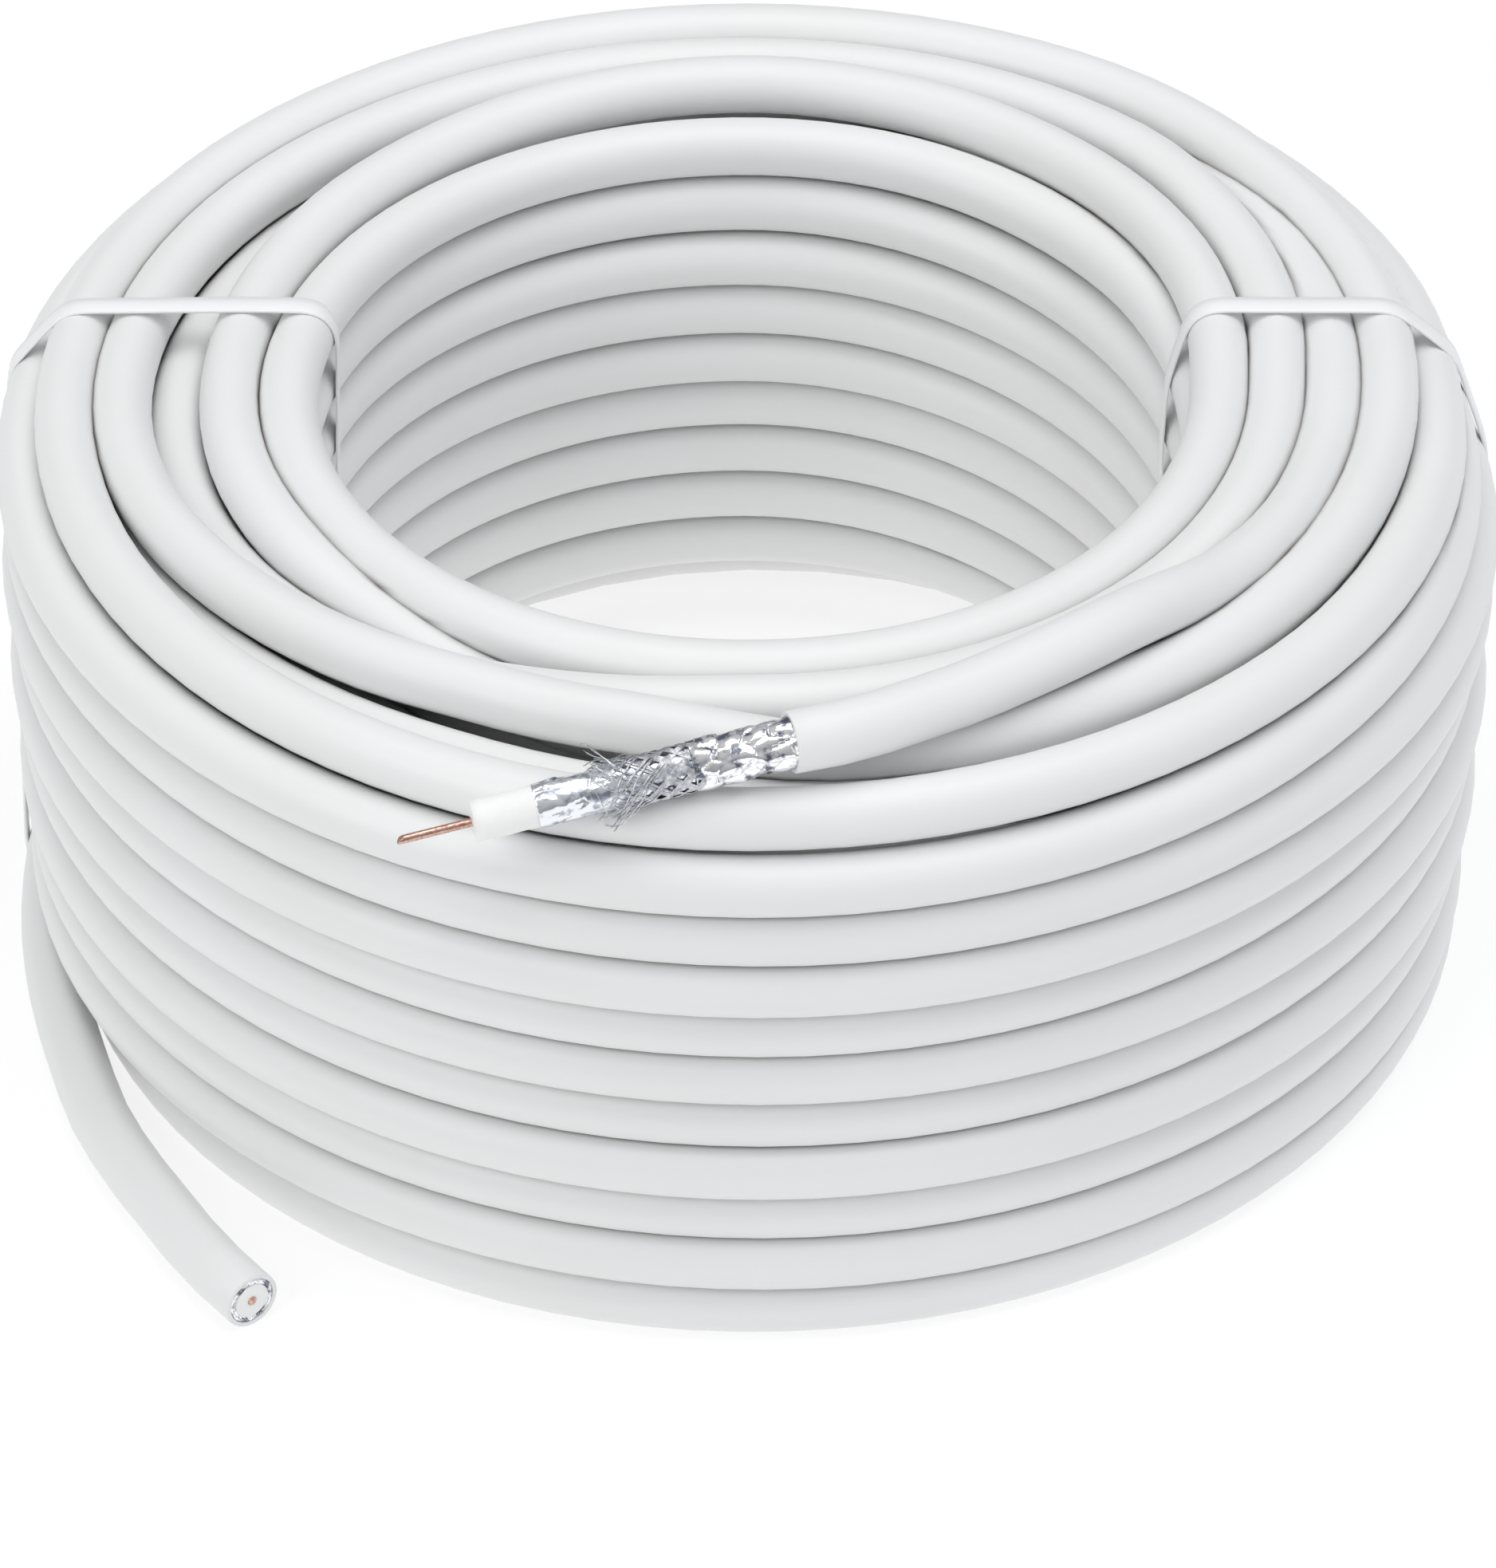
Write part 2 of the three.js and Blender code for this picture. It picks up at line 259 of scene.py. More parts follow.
def route_at(turns):
    """Points of the cable's centre line, in millimetres, for these numbers of turns."""
    radius = smooth_through(knots[:, 0], knots[:, 1], turns)
    height = smooth_through(knots[:, 0], knots[:, 2], turns)
    angle = -2 * np.pi * turns
    return np.stack([radius * np.cos(angle), radius * np.sin(angle), height], axis=-1)


def ring_places():
    """The turns at which the tube gets a ring."""
    edges = [knots[0, 0]] + [edge for pair in HIDDEN for edge in pair] + [knots[-1, 0]]
    places = []
    for i, (start, end) in enumerate(zip(edges, edges[1:])):
        density = HIDDEN_RINGS_A_TURN if i % 2 else RINGS_A_TURN
        count = int((end - start) * density)
        places.append(np.linspace(start, end, count, endpoint=False))
    return np.concatenate(places + [knots[-1:, 0]])


ring_turns = ring_places()
centres = route_at(ring_turns)

# %% [markdown]
# Two helpers make every mesh of this lesson. One turns points and faces into a piece that rides
# on the coil. The other links rings of points with quads, facing outward, which is what any
# tube or turned shape needs.

# %% Helpers for meshes


def make_piece(name, points, faces):
    """A piece from points in millimetres, smooth shaded, riding on the coil."""
    mesh = bpy.data.meshes.new(name)
    mesh.from_pydata((np.asarray(points) * MM).tolist(), [], faces)
    mesh.update()
    mesh.shade_smooth()
    piece = bpy.data.objects.new(name, mesh)
    bpy.context.scene.collection.objects.link(piece)
    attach(piece, "root")
    return piece


def link_rings(rings, sides, first=0):
    """Quads between rings of points that follow one another."""
    faces = []
    for i in range(rings - 1):
        for j in range(sides):
            a = first + i * sides + j
            b = first + i * sides + (j + 1) % sides
            faces.append((a, a + sides, b + sides, b))
    return faces


def ring_axes(along):
    """Two unit vectors across each direction: one level, one upright."""
    level = np.cross(along, [0.0, 0.0, 1.0])
    level /= np.linalg.norm(level, axis=-1, keepdims=True)
    return level, np.cross(level, along)


def ring_points(centre, along, radii, sides):
    """A round ring of points about each centre."""
    level, upright = ring_axes(along)
    angle = np.arange(sides) * 2 * np.pi / sides
    around = np.cos(angle)[:, None] * level[:, None] + np.sin(angle)[:, None] * upright[:, None]
    return (centre[:, None] + around * np.asarray(radii)[:, None, None]).reshape(-1, 3)


# %% [markdown]
# The cable is one tube. Each end is cut square, so the tube turns in over a small rounded edge,
# shows the thickness of the jacket, and goes a little way back inside, where the layers sit.

# %% Make the cable
CABLE_SIDES = 24
JACKET_WALL = 0.6
LEAD_RECESS = 2.0
TAIL_RECESS = 0.25
EDGE = 0.12

directions = np.gradient(centres, axis=0)
directions /= np.linalg.norm(directions, axis=1, keepdims=True)


def cut_end(centre, outward, recess):
    """Rings from the tube's edge over its cut face and into the jacket: place and radius."""
    inside = CABLE_RADIUS - JACKET_WALL
    steps = [(0, CABLE_RADIUS - 0.3 * EDGE), (EDGE, CABLE_RADIUS - EDGE)]
    steps += [(EDGE, inside + 0.5 * EDGE), (0.5 * EDGE, inside), (-recess, inside), (-recess, 0.02)]
    return [(centre + outward * (step - EDGE), radius) for step, radius in steps]


tail_rings = cut_end(centres[0], -directions[0], TAIL_RECESS)[::-1]
lead_rings = cut_end(centres[-1], directions[-1], LEAD_RECESS)
body_centres = centres[1:-1]
all_rings = tail_rings + [(c, CABLE_RADIUS) for c in body_centres] + lead_rings
all_along = [directions[0]] * len(tail_rings) + list(directions[1:-1])
all_along += [directions[-1]] * len(lead_rings)
cable_points = ring_points(
    np.array([centre for centre, _ in all_rings]),
    np.array(all_along),
    [radius for _, radius in all_rings],
    CABLE_SIDES,
)
cable = make_piece("cable", cable_points, link_rings(len(all_rings), CABLE_SIDES))
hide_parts("cable_coil", "cable_tail", "cable_lead")
print("cable:", len(cable.data.polygons), "quads")

# %% [markdown]
# Where two turns touch, little light gets in, and the jacket is darkened there with painted shade and a
# little dust.
# For each point of the tube this cell measures how far it is from the next turn, and keeps the
# answer as an attribute named groove that the jacket's material reads: 1 where they touch,
# and falling off quickly from there.

# %% Measure the grooves
GROOVE_WIDTH = 0.42
FINE_POINTS = 24000
NEAR_TURNS = 2.6 * CABLE_RADIUS
# Points of the route that are closer than this in its own order belong to the same turn
SAME_TURN = 20

fine_turns = np.linspace(knots[0, 0], knots[-1, 0], FINE_POINTS)
fine_route = route_at(fine_turns)
tree = kdtree.KDTree(len(fine_route))
for index, place in enumerate(fine_route):
    tree.insert(place, index)
tree.balance()
fine_step = fine_turns[1] - fine_turns[0]


def groove_values():
    """Nearness of each tube point to another turn."""
    grid = cable_points.reshape(-1, CABLE_SIDES, 3)
    values = np.zeros(grid.shape[:2])
    for i, ((centre, _), ring) in enumerate(zip(all_rings, grid)):
        k = int(np.clip(i - len(tail_rings) + 1, 0, len(ring_turns) - 1))
        own = (ring_turns[k] - fine_turns[0]) / fine_step
        found = tree.find_range(centre, NEAR_TURNS)
        others = [index for _, index, _ in found if abs(index - own) > SAME_TURN]
        if others:
            gaps = np.linalg.norm(ring[:, None] - fine_route[others][None], axis=2).min(axis=1)
            values[i] = np.exp(-np.maximum(gaps - CABLE_RADIUS, 0) / GROOVE_WIDTH)
    return values.ravel()


# The groove attribute drives painted shade, with a little dust, in the jacket's colour
groove = cable.data.attributes.new("groove", "FLOAT", "POINT")
groove.data.foreach_set("value", groove_values())
print("grooves measured")

# %% [markdown]
# The loose end is stripped back in steps, so each layer shows outside the one inside it. They
# all share one axis, which runs on from the jacket, over the rim and slightly down. A turned
# shape about that axis serves for each layer: a profile of distance along the axis and radius.

# %% Set out the stripped end
STRIPPED_AIM = np.array([-41.8, -10.1, -5.5])
STRIPPED_AIM /= np.linalg.norm(STRIPPED_AIM)
JACKET_END = centres[-1]
OUTER_FOIL_END = 11.0
BRAID_END = 21.0
INNER_FOIL_END = 28.4
FOAM_END = 35.3
CORE_END = 43.5


def turned(origin, aim, profile, sides, wobble=None):
    """Points of a turned shape. wobble(distance, angle) may move a point in or out."""
    points = []
    level, upright = (v[0] for v in ring_axes(aim[None]))
    for distance, radius in profile:
        for j in range(sides):
            angle = 2 * math.pi * j / sides
            reach = radius + (wobble(distance, angle) if wobble and radius > 0.5 else 0)
            ray = math.cos(angle) * level + math.sin(angle) * upright
            points.append(origin + aim * distance + ray * reach)
    return points


def add_turned(name, profile, sides, wobble=None, origin=None, aim=None):
    """A turned piece on the stripped end, or on another axis."""
    origin = JACKET_END if origin is None else origin
    aim = STRIPPED_AIM if aim is None else aim
    points = turned(origin, aim, profile, sides, wobble)
    return make_piece(name, points, link_rings(len(profile), sides))


print("the stripped end reaches", np.round(JACKET_END + STRIPPED_AIM * CORE_END, 1))

# %% [markdown]
# Foil that has been wrapped round a braid and bent open is covered with small flat facets that
# meet in sharp creases. Cells of a Voronoi pattern give them: each cell tilts its own way, and
# the tilt moves the surface in or out. The same idea serves both foils at different strengths.

# %% Wrap the two foils
FOIL_SIDES = 96
FACET = 2.0
OUTER_FOIL_RADIUS = 2.9
INNER_FOIL_RADIUS = 2.45
TURN_IN = 3.0
ROUNDING = 0.02


def crumple(radius, strength, seed):
    """A function that creases a sleeve of this radius into tilted facets."""

    def move(distance, angle):
        place = Vector((distance * 0.7, radius * math.cos(angle), radius * math.sin(angle)))
        place = place / FACET + Vector((seed, 0, 0))
        gaps, cells = noise.voronoi(place)
        tilt = noise.cell_vector(cells[0] * 7.3) * 2 - Vector((1, 1, 1))
        crease = min((gaps[1] - gaps[0]) * 2.2, 1.0)
        fine = noise.noise(place * 2.3) * 0.3
        return strength * (tilt.dot(place - cells[0]) * 1.6 + 0.8 * crease - 0.8 + fine)

    return move


def sleeve_profile(start, end, outer, wall, steps):
    """A thin sleeve: out along its face, round its end and back inside."""
    outside = [(start + (end - start) * i / steps, outer) for i in range(steps + 1)]
    inside = outer - wall
    return outside + [(end + ROUNDING, outer - wall / 2), (end, inside), (end - TURN_IN, inside)]


outer_profile = sleeve_profile(-1.5, OUTER_FOIL_END, OUTER_FOIL_RADIUS, 0.1, 110)
outer_creases = crumple(OUTER_FOIL_RADIUS, 0.24, 3.0)
outer_wrap = add_turned("outer_foil_wrap", outer_profile, FOIL_SIDES, outer_creases)
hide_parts("outer_foil")
inner_profile = sleeve_profile(OUTER_FOIL_END - 2, INNER_FOIL_END, INNER_FOIL_RADIUS, 0.08, 150)
inner_creases = crumple(INNER_FOIL_RADIUS, 0.13, 11.0)
inner_wrap = add_turned("inner_foil_wrap", inner_profile, FOIL_SIDES, inner_creases)
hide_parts("inner_foil")
print("foils:", len(outer_wrap.data.polygons), "and", len(inner_wrap.data.polygons), "quads")

# %% [markdown]
# The braid is wire, so it is made of wires. Eight bundles of six wind one way and eight the
# other, and they pass over and under each other. Past the first millimetres the weave has
# opened: each wire leaves the bundle at its own place, stands off and ends where it broke.

# %% Weave and fray the braid
BUNDLES = 8
WIRES_A_BUNDLE = 6
WIRE_RADIUS = 0.075
WIRE_SIDES = 5
WIRE_STEPS = 44
BRAID_RADIUS = 2.62
BRAID_LAY = 21.0
WEAVE = 0.1
BRAID_START = OUTER_FOIL_END - 1.2
# How far a broken end may fall short of the braid's end or pass it
END_SHORT, END_PAST = 2.6, 1.4
# Where along the braid a wire may leave the weave, and how far off and aside it then goes
FRAY_FIRST, FRAY_LAST = BRAID_START + 3.0, BRAID_END - 2.0
MOST_OFF = 2.4
MOST_ASIDE = 0.5


def wire_line(way, bundle, place, rng):
    """The centre line of one wire, from under the outer foil to its broken end."""
    level, upright = (v[0] for v in ring_axes(STRIPPED_AIM[None]))
    end = BRAID_END + rng.uniform(-END_SHORT, END_PAST)
    frays = rng.uniform(FRAY_FIRST, FRAY_LAST)
    stand_off = rng.uniform(0.1, 1.0) ** 2 * MOST_OFF
    drift = rng.uniform(-MOST_ASIDE, MOST_ASIDE)
    spacing = 2.3 * WIRE_RADIUS / BRAID_RADIUS
    points = []
    for i in range(WIRE_STEPS):
        s = BRAID_START + (end - BRAID_START) * i / (WIRE_STEPS - 1)
        loose = max(s - frays, 0) / (BRAID_END - frays)
        turn = 2 * math.pi * ((s - BRAID_START) / BRAID_LAY + bundle / BUNDLES)
        angle = way * turn + (place - (WIRES_A_BUNDLE - 1) / 2) * spacing + drift * loose**1.5
        crossing = 2 * BUNDLES * (s - BRAID_START) / BRAID_LAY + bundle
        radius = BRAID_RADIUS + way * WEAVE * math.sin(math.pi * crossing) + stand_off * loose**2
        ray = math.cos(angle) * level + math.sin(angle) * upright
        points.append(JACKET_END + STRIPPED_AIM * s + ray * radius)
    return np.array(points)


def add_wires(name, lines, radius, sides):
    """Many wires as one piece."""
    points, faces = [], []
    for line in lines:
        along = np.gradient(line, axis=0)
        along /= np.linalg.norm(along, axis=1, keepdims=True)
        radii = np.full(len(line), radius)
        radii[[0, -1]] *= 0.5
        first = len(points)
        points += list(ring_points(line, along, radii, sides))
        faces += link_rings(len(line), sides, first)
        faces.append(tuple(range(first, first + sides)))
        last = first + (len(line) - 1) * sides
        faces.append(tuple(range(last + sides - 1, last - 1, -1)))
    return make_piece(name, points, faces)


rng = random.Random(21)
wires = [
    wire_line(way, bundle, place, rng)
    for way in (1, -1)
    for bundle in range(BUNDLES)
    for place in range(WIRES_A_BUNDLE)
]
braid = add_wires("braid_wires", wires, WIRE_RADIUS, WIRE_SIDES)
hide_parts("braid")
print("braid:", len(wires), "wires,", len(braid.data.polygons), "faces")

# %% [markdown]
# The foam insulation was cut with a knife, so its end is nearly flat with a soft edge and a
# small rim round the core. The copper core was nipped off, which leaves a slanting, slightly
# flattened tip.

# %% Turn the foam and the core
FOAM_RADIUS = 2.3
CORE_RADIUS = 0.48
NIP_SLANT = 0.3
NIP_LENGTH = 0.9


def uneven_foam(distance, angle):
    """Foam is never quite round."""
    return 0.05 * noise.noise(Vector((distance * 0.6, 2 * math.cos(angle), 2 * math.sin(angle))))


foam_profile = [(INNER_FOIL_END - 1.5 + 0.3 * i, FOAM_RADIUS) for i in range(25)]
foam_profile += [(FOAM_END - 0.12, FOAM_RADIUS - 0.03), (FOAM_END, FOAM_RADIUS - 0.22)]
foam_profile += [(FOAM_END + 0.03, 1.4), (FOAM_END - 0.02, 0.9), (FOAM_END + 0.12, 0.62), (FOAM_END, 0.4)]
foam = add_turned("foam_insulation", foam_profile, 64, uneven_foam)
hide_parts("dielectric")

core_profile = [(FOAM_END - 1 + 0.4 * i, CORE_RADIUS) for i in range(22)]
core_profile += [(CORE_END - 0.5, CORE_RADIUS), (CORE_END - 0.15, 0.45), (CORE_END, 0.38)]
core_profile += [(CORE_END - 0.2, 0.01)]
core = add_turned("copper_core", core_profile, 20)
for vertex in core.data.vertices:
    offset = np.array(vertex.co) / MM - JACKET_END
    beyond = offset @ STRIPPED_AIM - (CORE_END - NIP_LENGTH)
    if beyond > 0:
        across = offset - STRIPPED_AIM * (offset @ STRIPPED_AIM)
        slant = beyond / NIP_LENGTH * NIP_SLANT * across[2] / CORE_RADIUS
        vertex.co = Vector((np.array(vertex.co) / MM - STRIPPED_AIM * slant) * MM)
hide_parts("conductor")
print("foam and core made")

# %% [markdown]
# The tail is cut square and shows the same layers as a target: jacket, a ring of wire ends with
# glints of foil, foam, and the core. They are small turned pieces and a ring of short wires,
# seated in the shallow recess that the tube leaves at that end.

# %% Fill the cut end of the tail
TAIL_CUT = centres[0]
TAIL_OUT = -directions[0]
TAIL_WIRES = 56

tail_foam = add_turned(
    "tail_foam", [(-0.6, 2.2), (-0.06, 2.2), (0.0, 2.1), (0.04, 1.2), (-0.04, 0.6), (-0.04, 0.01)], 48,
    origin=TAIL_CUT, aim=TAIL_OUT,
)
tail_core = add_turned(
    "tail_core", [(-0.6, 0.56), (0.05, 0.56), (0.12, 0.48), (0.14, 0.3), (0.1, 0.01)], 24,
    origin=TAIL_CUT, aim=TAIL_OUT,
)
tail_foil = add_turned(
    "tail_foil", [(-0.5, 2.9), (-0.1, 2.86), (-0.05, 2.7), (-0.22, 2.4), (-0.05, 2.3), (-0.3, 2.2)], 64,
    crumple(2.6, 0.1, 5.0), origin=TAIL_CUT, aim=TAIL_OUT,
)


def tail_wire(index):
    """A short wire that ends near the cut face."""
    level, upright = (v[0] for v in ring_axes(TAIL_OUT[None]))
    angle = 2 * math.pi * (index + rng.uniform(-0.3, 0.3)) / TAIL_WIRES
    radius = 2.55 + rng.uniform(-0.14, 0.16)
    ray = math.cos(angle) * level + math.sin(angle) * upright
    stands = rng.uniform(-0.1, 0.1)
    return np.array([TAIL_CUT + ray * radius + TAIL_OUT * s for s in (-0.5, -0.25, stands)])


tail_wires = add_wires("tail_wires", [tail_wire(i) for i in range(TAIL_WIRES)], 0.09, 6)

# %% [markdown]
# The cable starts at the square cut on the floor and ends bare, at the stripped end.

# %% [markdown]
# Each strap is a flat band pulled tight round the bundle. A tight band touches only the turns
# that stand out furthest and bridges the gaps between them, which is what a convex hull does.
# So the strap's loop is the hull of the circles where the turns cross its plane, and a band
# with rounded edges is drawn along it.

# %% Tie the straps
STRAP_PLANE = 12.5
STRAP_WIDTH = 3.0
STRAP_THICKNESS = 0.4
STRAP_LEAN = 0.12
STRAP_STEP = 0.8


def plane_at(height):
    """How far back the strap lies at this height: it leans forward as it goes down."""
    return STRAP_PLANE - STRAP_LEAN * (TOP_TURN - height)


def crossings(side):
    """Where the cable crosses the strap's plane on one side: distance along X, and height."""
    y = fine_route[:, 1] - plane_at(fine_route[:, 2])
    at = np.flatnonzero((y[:-1] * y[1:] <= 0) & (fine_route[:-1, 0] * side > 0))
    return [(abs(fine_route[i, 0]), fine_route[i, 2]) for i in at]


def hull(points):
    """The convex hull of flat points, counter-clockwise."""
    points = sorted(set(points))
    halves = []
    for ordered in (points, points[::-1]):
        half = []
        for p in ordered:
            while len(half) > 1:
                (ax, az), (bx, bz) = half[-2], half[-1]
                if (bx - ax) * (p[1] - az) - (bz - az) * (p[0] - ax) > 0:
                    break
                half.pop()
            half.append(p)
        halves.append(half[:-1])
    return halves[0] + halves[1]


def strap_loop(side, clear):
    """The strap's middle line round the bundle, evenly spaced."""
    reach = CABLE_RADIUS + clear
    circle = [i * math.pi / 24 for i in range(48)]
    around = [
        (x + reach * math.cos(a), max(z + reach * math.sin(a), clear))
        for x, z in crossings(side)
        for a in circle
    ]
    corners = np.array(hull(around))
    corners = np.vstack([corners, corners[:1]])
    gone = np.concatenate([[0], np.cumsum(np.linalg.norm(np.diff(corners, axis=0), axis=1))])
    at = np.linspace(0, gone[-1], int(gone[-1] / STRAP_STEP), endpoint=False)
    return np.stack([np.interp(at, gone, corners[:, 0]), np.interp(at, gone, corners[:, 1])], axis=1)


def soften(loop, rounds):
    """Rounds the corners of a closed loop."""
    for _ in range(rounds):
        loop = 0.25 * np.roll(loop, 1, axis=0) + 0.5 * loop + 0.25 * np.roll(loop, -1, axis=0)
    return loop


def add_strap(name, side, node):
    """One strap, standing in for a CAD solid."""
    loop = soften(strap_loop(side, 0.1 + STRAP_THICKNESS / 2), 4)
    ahead = np.roll(loop, -1, axis=0) - np.roll(loop, 1, axis=0)
    ahead /= np.linalg.norm(ahead, axis=1, keepdims=True)
    out = np.stack([ahead[:, 1], -ahead[:, 0]], axis=1)
    w, t, e = STRAP_WIDTH / 2, STRAP_THICKNESS / 2, 0.13
    section = [(w, -t + e), (w, t - e), (w - e, t), (0, t + 0.03), (e - w, t), (-w, t - e)]
    section += [(-w, e - t), (e - w, -t), (0, -t), (w - e, -t)]
    points = []
    for i, (place, normal) in enumerate(zip(loop, out)):
        sway = 0.25 * math.sin(i * STRAP_STEP / 17)
        for across, thick in section:
            x, z = place + normal * thick
            points.append((side * x, plane_at(z) + across + sway, z))
    rings, sides = len(loop), len(section)
    faces = link_rings(rings, sides)
    for j in range(sides):
        k = (j + 1) % sides
        last = (rings - 1) * sides
        faces.append((last + j, j, k, last + k))
    if side > 0:
        faces = [face[::-1] for face in faces]
    strap = make_piece(name, points, faces)
    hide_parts(node)
    return strap


strap_right = add_strap("strap_right", 1, "band_right")
strap_left = add_strap("strap_left", -1, "band_left")
print("straps:", len(strap_right.data.polygons), "and", len(strap_left.data.polygons), "quads")

# %% [markdown]
# Materials come next. Two effects serve several of them, so each is a node group that is built
# once. The first is the fine grain of moulded or extruded plastic: a height for the bump and a
# slow mask that varies the gloss. The second is the marks on metal: fine lines and small spots,
# which on the foil are painted reflections.

# %% Build the shared groups


def new_group(name, inputs, outputs):
    """An empty node group with float inputs, and outputs of the given kinds."""
    group = bpy.data.node_groups.new(name, "ShaderNodeTree")
    for label, value in inputs:
        socket = group.interface.new_socket(label, in_out="INPUT", socket_type="NodeSocketFloat")
        socket.default_value = value
    for label in outputs:
        group.interface.new_socket(label, in_out="OUTPUT", socket_type="NodeSocketFloat")
    return group, group.nodes.new("NodeGroupInput"), group.nodes.new("NodeGroupOutput")


def noise_node(nodes, links, vector, scale, detail):
    """A noise texture on this vector. scale is a number or a socket."""
    node = nodes.new("ShaderNodeTexNoise")
    node.inputs["Detail"].default_value = detail
    links.new(vector, node.inputs["Vector"])
    if isinstance(scale, (int, float)):
        node.inputs["Scale"].default_value = scale
    else:
        links.new(scale, node.inputs["Scale"])
    return node.outputs["Fac"]


def maths(nodes, links, operation, first, second):
    """A Math node. Each input is a number or a socket."""
    node = nodes.new("ShaderNodeMath")
    node.operation = operation
    for socket, value in zip(node.inputs, (first, second)):
        if isinstance(value, (int, float)):
            socket.default_value = value
        else:
            links.new(value, socket)
    return node.outputs["Value"]


def build_plastic_grain():
    """Grain per metre in, a bump height and a slow gloss mask out."""
    sizes = [("Grain", 3000.0), ("Patches", 60.0)]
    group, entry, leave = new_group("plastic_grain", sizes, ["Height", "Mask"])
    nodes, links = group.nodes, group.links
    place = nodes.new("ShaderNodeTexCoord").outputs["Object"]
    fine = noise_node(nodes, links, place, entry.outputs["Grain"], 3)
    slow = noise_node(nodes, links, place, entry.outputs["Patches"], 2)
    links.new(fine, leave.inputs["Height"])
    links.new(slow, leave.inputs["Mask"])
    return group


def build_metal_marks_and_reflections():
    """Spots per metre, edge sharpness and share of bright in; a height and a mask out. On the foil the mask
    paints dark reflections.
    """
    settings = [("Spots", 1500.0), ("Sharpness", 3.0), ("Balance", 0.5)]
    group, entry, leave = new_group("metal_marks_and_reflections", settings, ["Height", "Mask"])
    nodes, links = group.nodes, group.links
    place = nodes.new("ShaderNodeTexCoord").outputs["Object"]
    spots = noise_node(nodes, links, place, entry.outputs["Spots"], 4)
    centred = maths(nodes, links, "SUBTRACT", spots, 0.5)
    steep = maths(nodes, links, "MULTIPLY", centred, entry.outputs["Sharpness"])
    raised = maths(nodes, links, "ADD", steep, entry.outputs["Balance"])
    clamp = nodes.new("ShaderNodeClamp")
    links.new(raised, clamp.inputs["Value"])
    links.new(spots, leave.inputs["Height"])
    links.new(clamp.outputs["Result"], leave.inputs["Mask"])
    return group


plastic_grain = build_plastic_grain()
metal_marks_and_reflections = build_metal_marks_and_reflections()
print("groups:", plastic_grain.name, "and", metal_marks_and_reflections.name)

# %% [markdown]
# Every material starts the same way, so a helper makes the shader and places a group with its
# own values. Other helpers blend two colours by a mask, and give the group's height to a bump.

# %% Helpers for materials


def start_material(name, group, values):
    """A new material with a Principled shader and a group set to these values."""
    material = bpy.data.materials.new(name)
    material.use_nodes = True
    nodes = material.node_tree.nodes
    shader = nodes["Principled BSDF"]
    effect = nodes.new("ShaderNodeGroup")
    effect.node_tree = group
    for label, value in values.items():
        effect.inputs[label].default_value = value
    return material, nodes, material.node_tree.links, shader, effect


def blend_colours(nodes, links, mask, first, second):
    """The colour first where the mask is 0, and second where it is 1. Each may be a socket."""
    node = nodes.new("ShaderNodeMix")
    node.data_type = "RGBA"
    links.new(mask, node.inputs["Factor"])
    for label, colour in (("A", first), ("B", second)):
        socket = next(s for s in node.inputs if s.name == label and s.type == "RGBA")
        if isinstance(colour, tuple):
            socket.default_value = (*colour, 1)
        else:
            links.new(colour, socket)
    return next(s for s in node.outputs if s.type == "RGBA")


def spread_roughness(nodes, links, shader, mask, low, high):
    """Roughness from low to high by the mask."""
    node = nodes.new("ShaderNodeMapRange")
    links.new(mask, node.inputs["Value"])
    node.inputs["To Min"].default_value = low
    node.inputs["To Max"].default_value = high
    links.new(node.outputs["Result"], shader.inputs["Roughness"])


def bump_with(nodes, links, shader, height, strength, depth):
    """A bump from this height. depth is in metres."""
    node = nodes.new("ShaderNodeBump")
    node.inputs["Strength"].default_value = strength
    node.inputs["Distance"].default_value = depth
    links.new(height, node.inputs["Height"])
    links.new(node.outputs["Normal"], shader.inputs["Normal"])


print("material helpers ready")

# %% [markdown]
# The jacket is soft white PVC with a satin surface. Its colour is an off-white that drifts very
# slightly between warm and cool, and turns to a dark grey-brown in the grooves, where the
# attribute measured above is near 1: painted shade, with a little dust in it.

# %% Finish the jacket
jacket, nodes, links, shader, grain = start_material(
    "jacket_pvc", plastic_grain, {"Grain": 2600.0, "Patches": 35.0}
)
groove_mask = nodes.new("ShaderNodeAttribute")
groove_mask.attribute_name = "groove"
whites = blend_colours(nodes, links, grain.outputs["Mask"], (0.80, 0.80, 0.79), (0.85, 0.855, 0.86))
# Painted shade with a little dust: a dark grey-brown mixed into the jacket where turns touch
narrow = maths(nodes, links, "POWER", groove_mask.outputs["Fac"], 2.0)
groove_shade_and_dust = maths(nodes, links, "MULTIPLY", narrow, 0.92)
links.new(blend_colours(nodes, links, groove_shade_and_dust, whites, (0.13, 0.11, 0.10)), shader.inputs["Base Color"])
spread_roughness(nodes, links, shader, grain.outputs["Mask"], 0.36, 0.5)
bump_with(nodes, links, shader, grain.outputs["Height"], 0.10, 0.0001)
cable.data.materials.append(jacket)
print("jacket finished")

# %% [markdown]
# The strap is a brighter, smoother white than the cable. The foam is matt and almost pure
# white, with small open cells on its surface.

# %% Finish the straps and the foam
strap_white, nodes, links, shader, grain = start_material(
    "strap_plastic", plastic_grain, {"Grain": 1800.0, "Patches": 120.0}
)
colour = blend_colours(nodes, links, grain.outputs["Mask"], (0.86, 0.865, 0.87), (0.90, 0.90, 0.90))
links.new(colour, shader.inputs["Base Color"])
spread_roughness(nodes, links, shader, grain.outputs["Mask"], 0.28, 0.42)
bump_with(nodes, links, shader, grain.outputs["Height"], 0.12, 0.0001)
for strap in (strap_left, strap_right):
    strap.data.materials.append(strap_white)

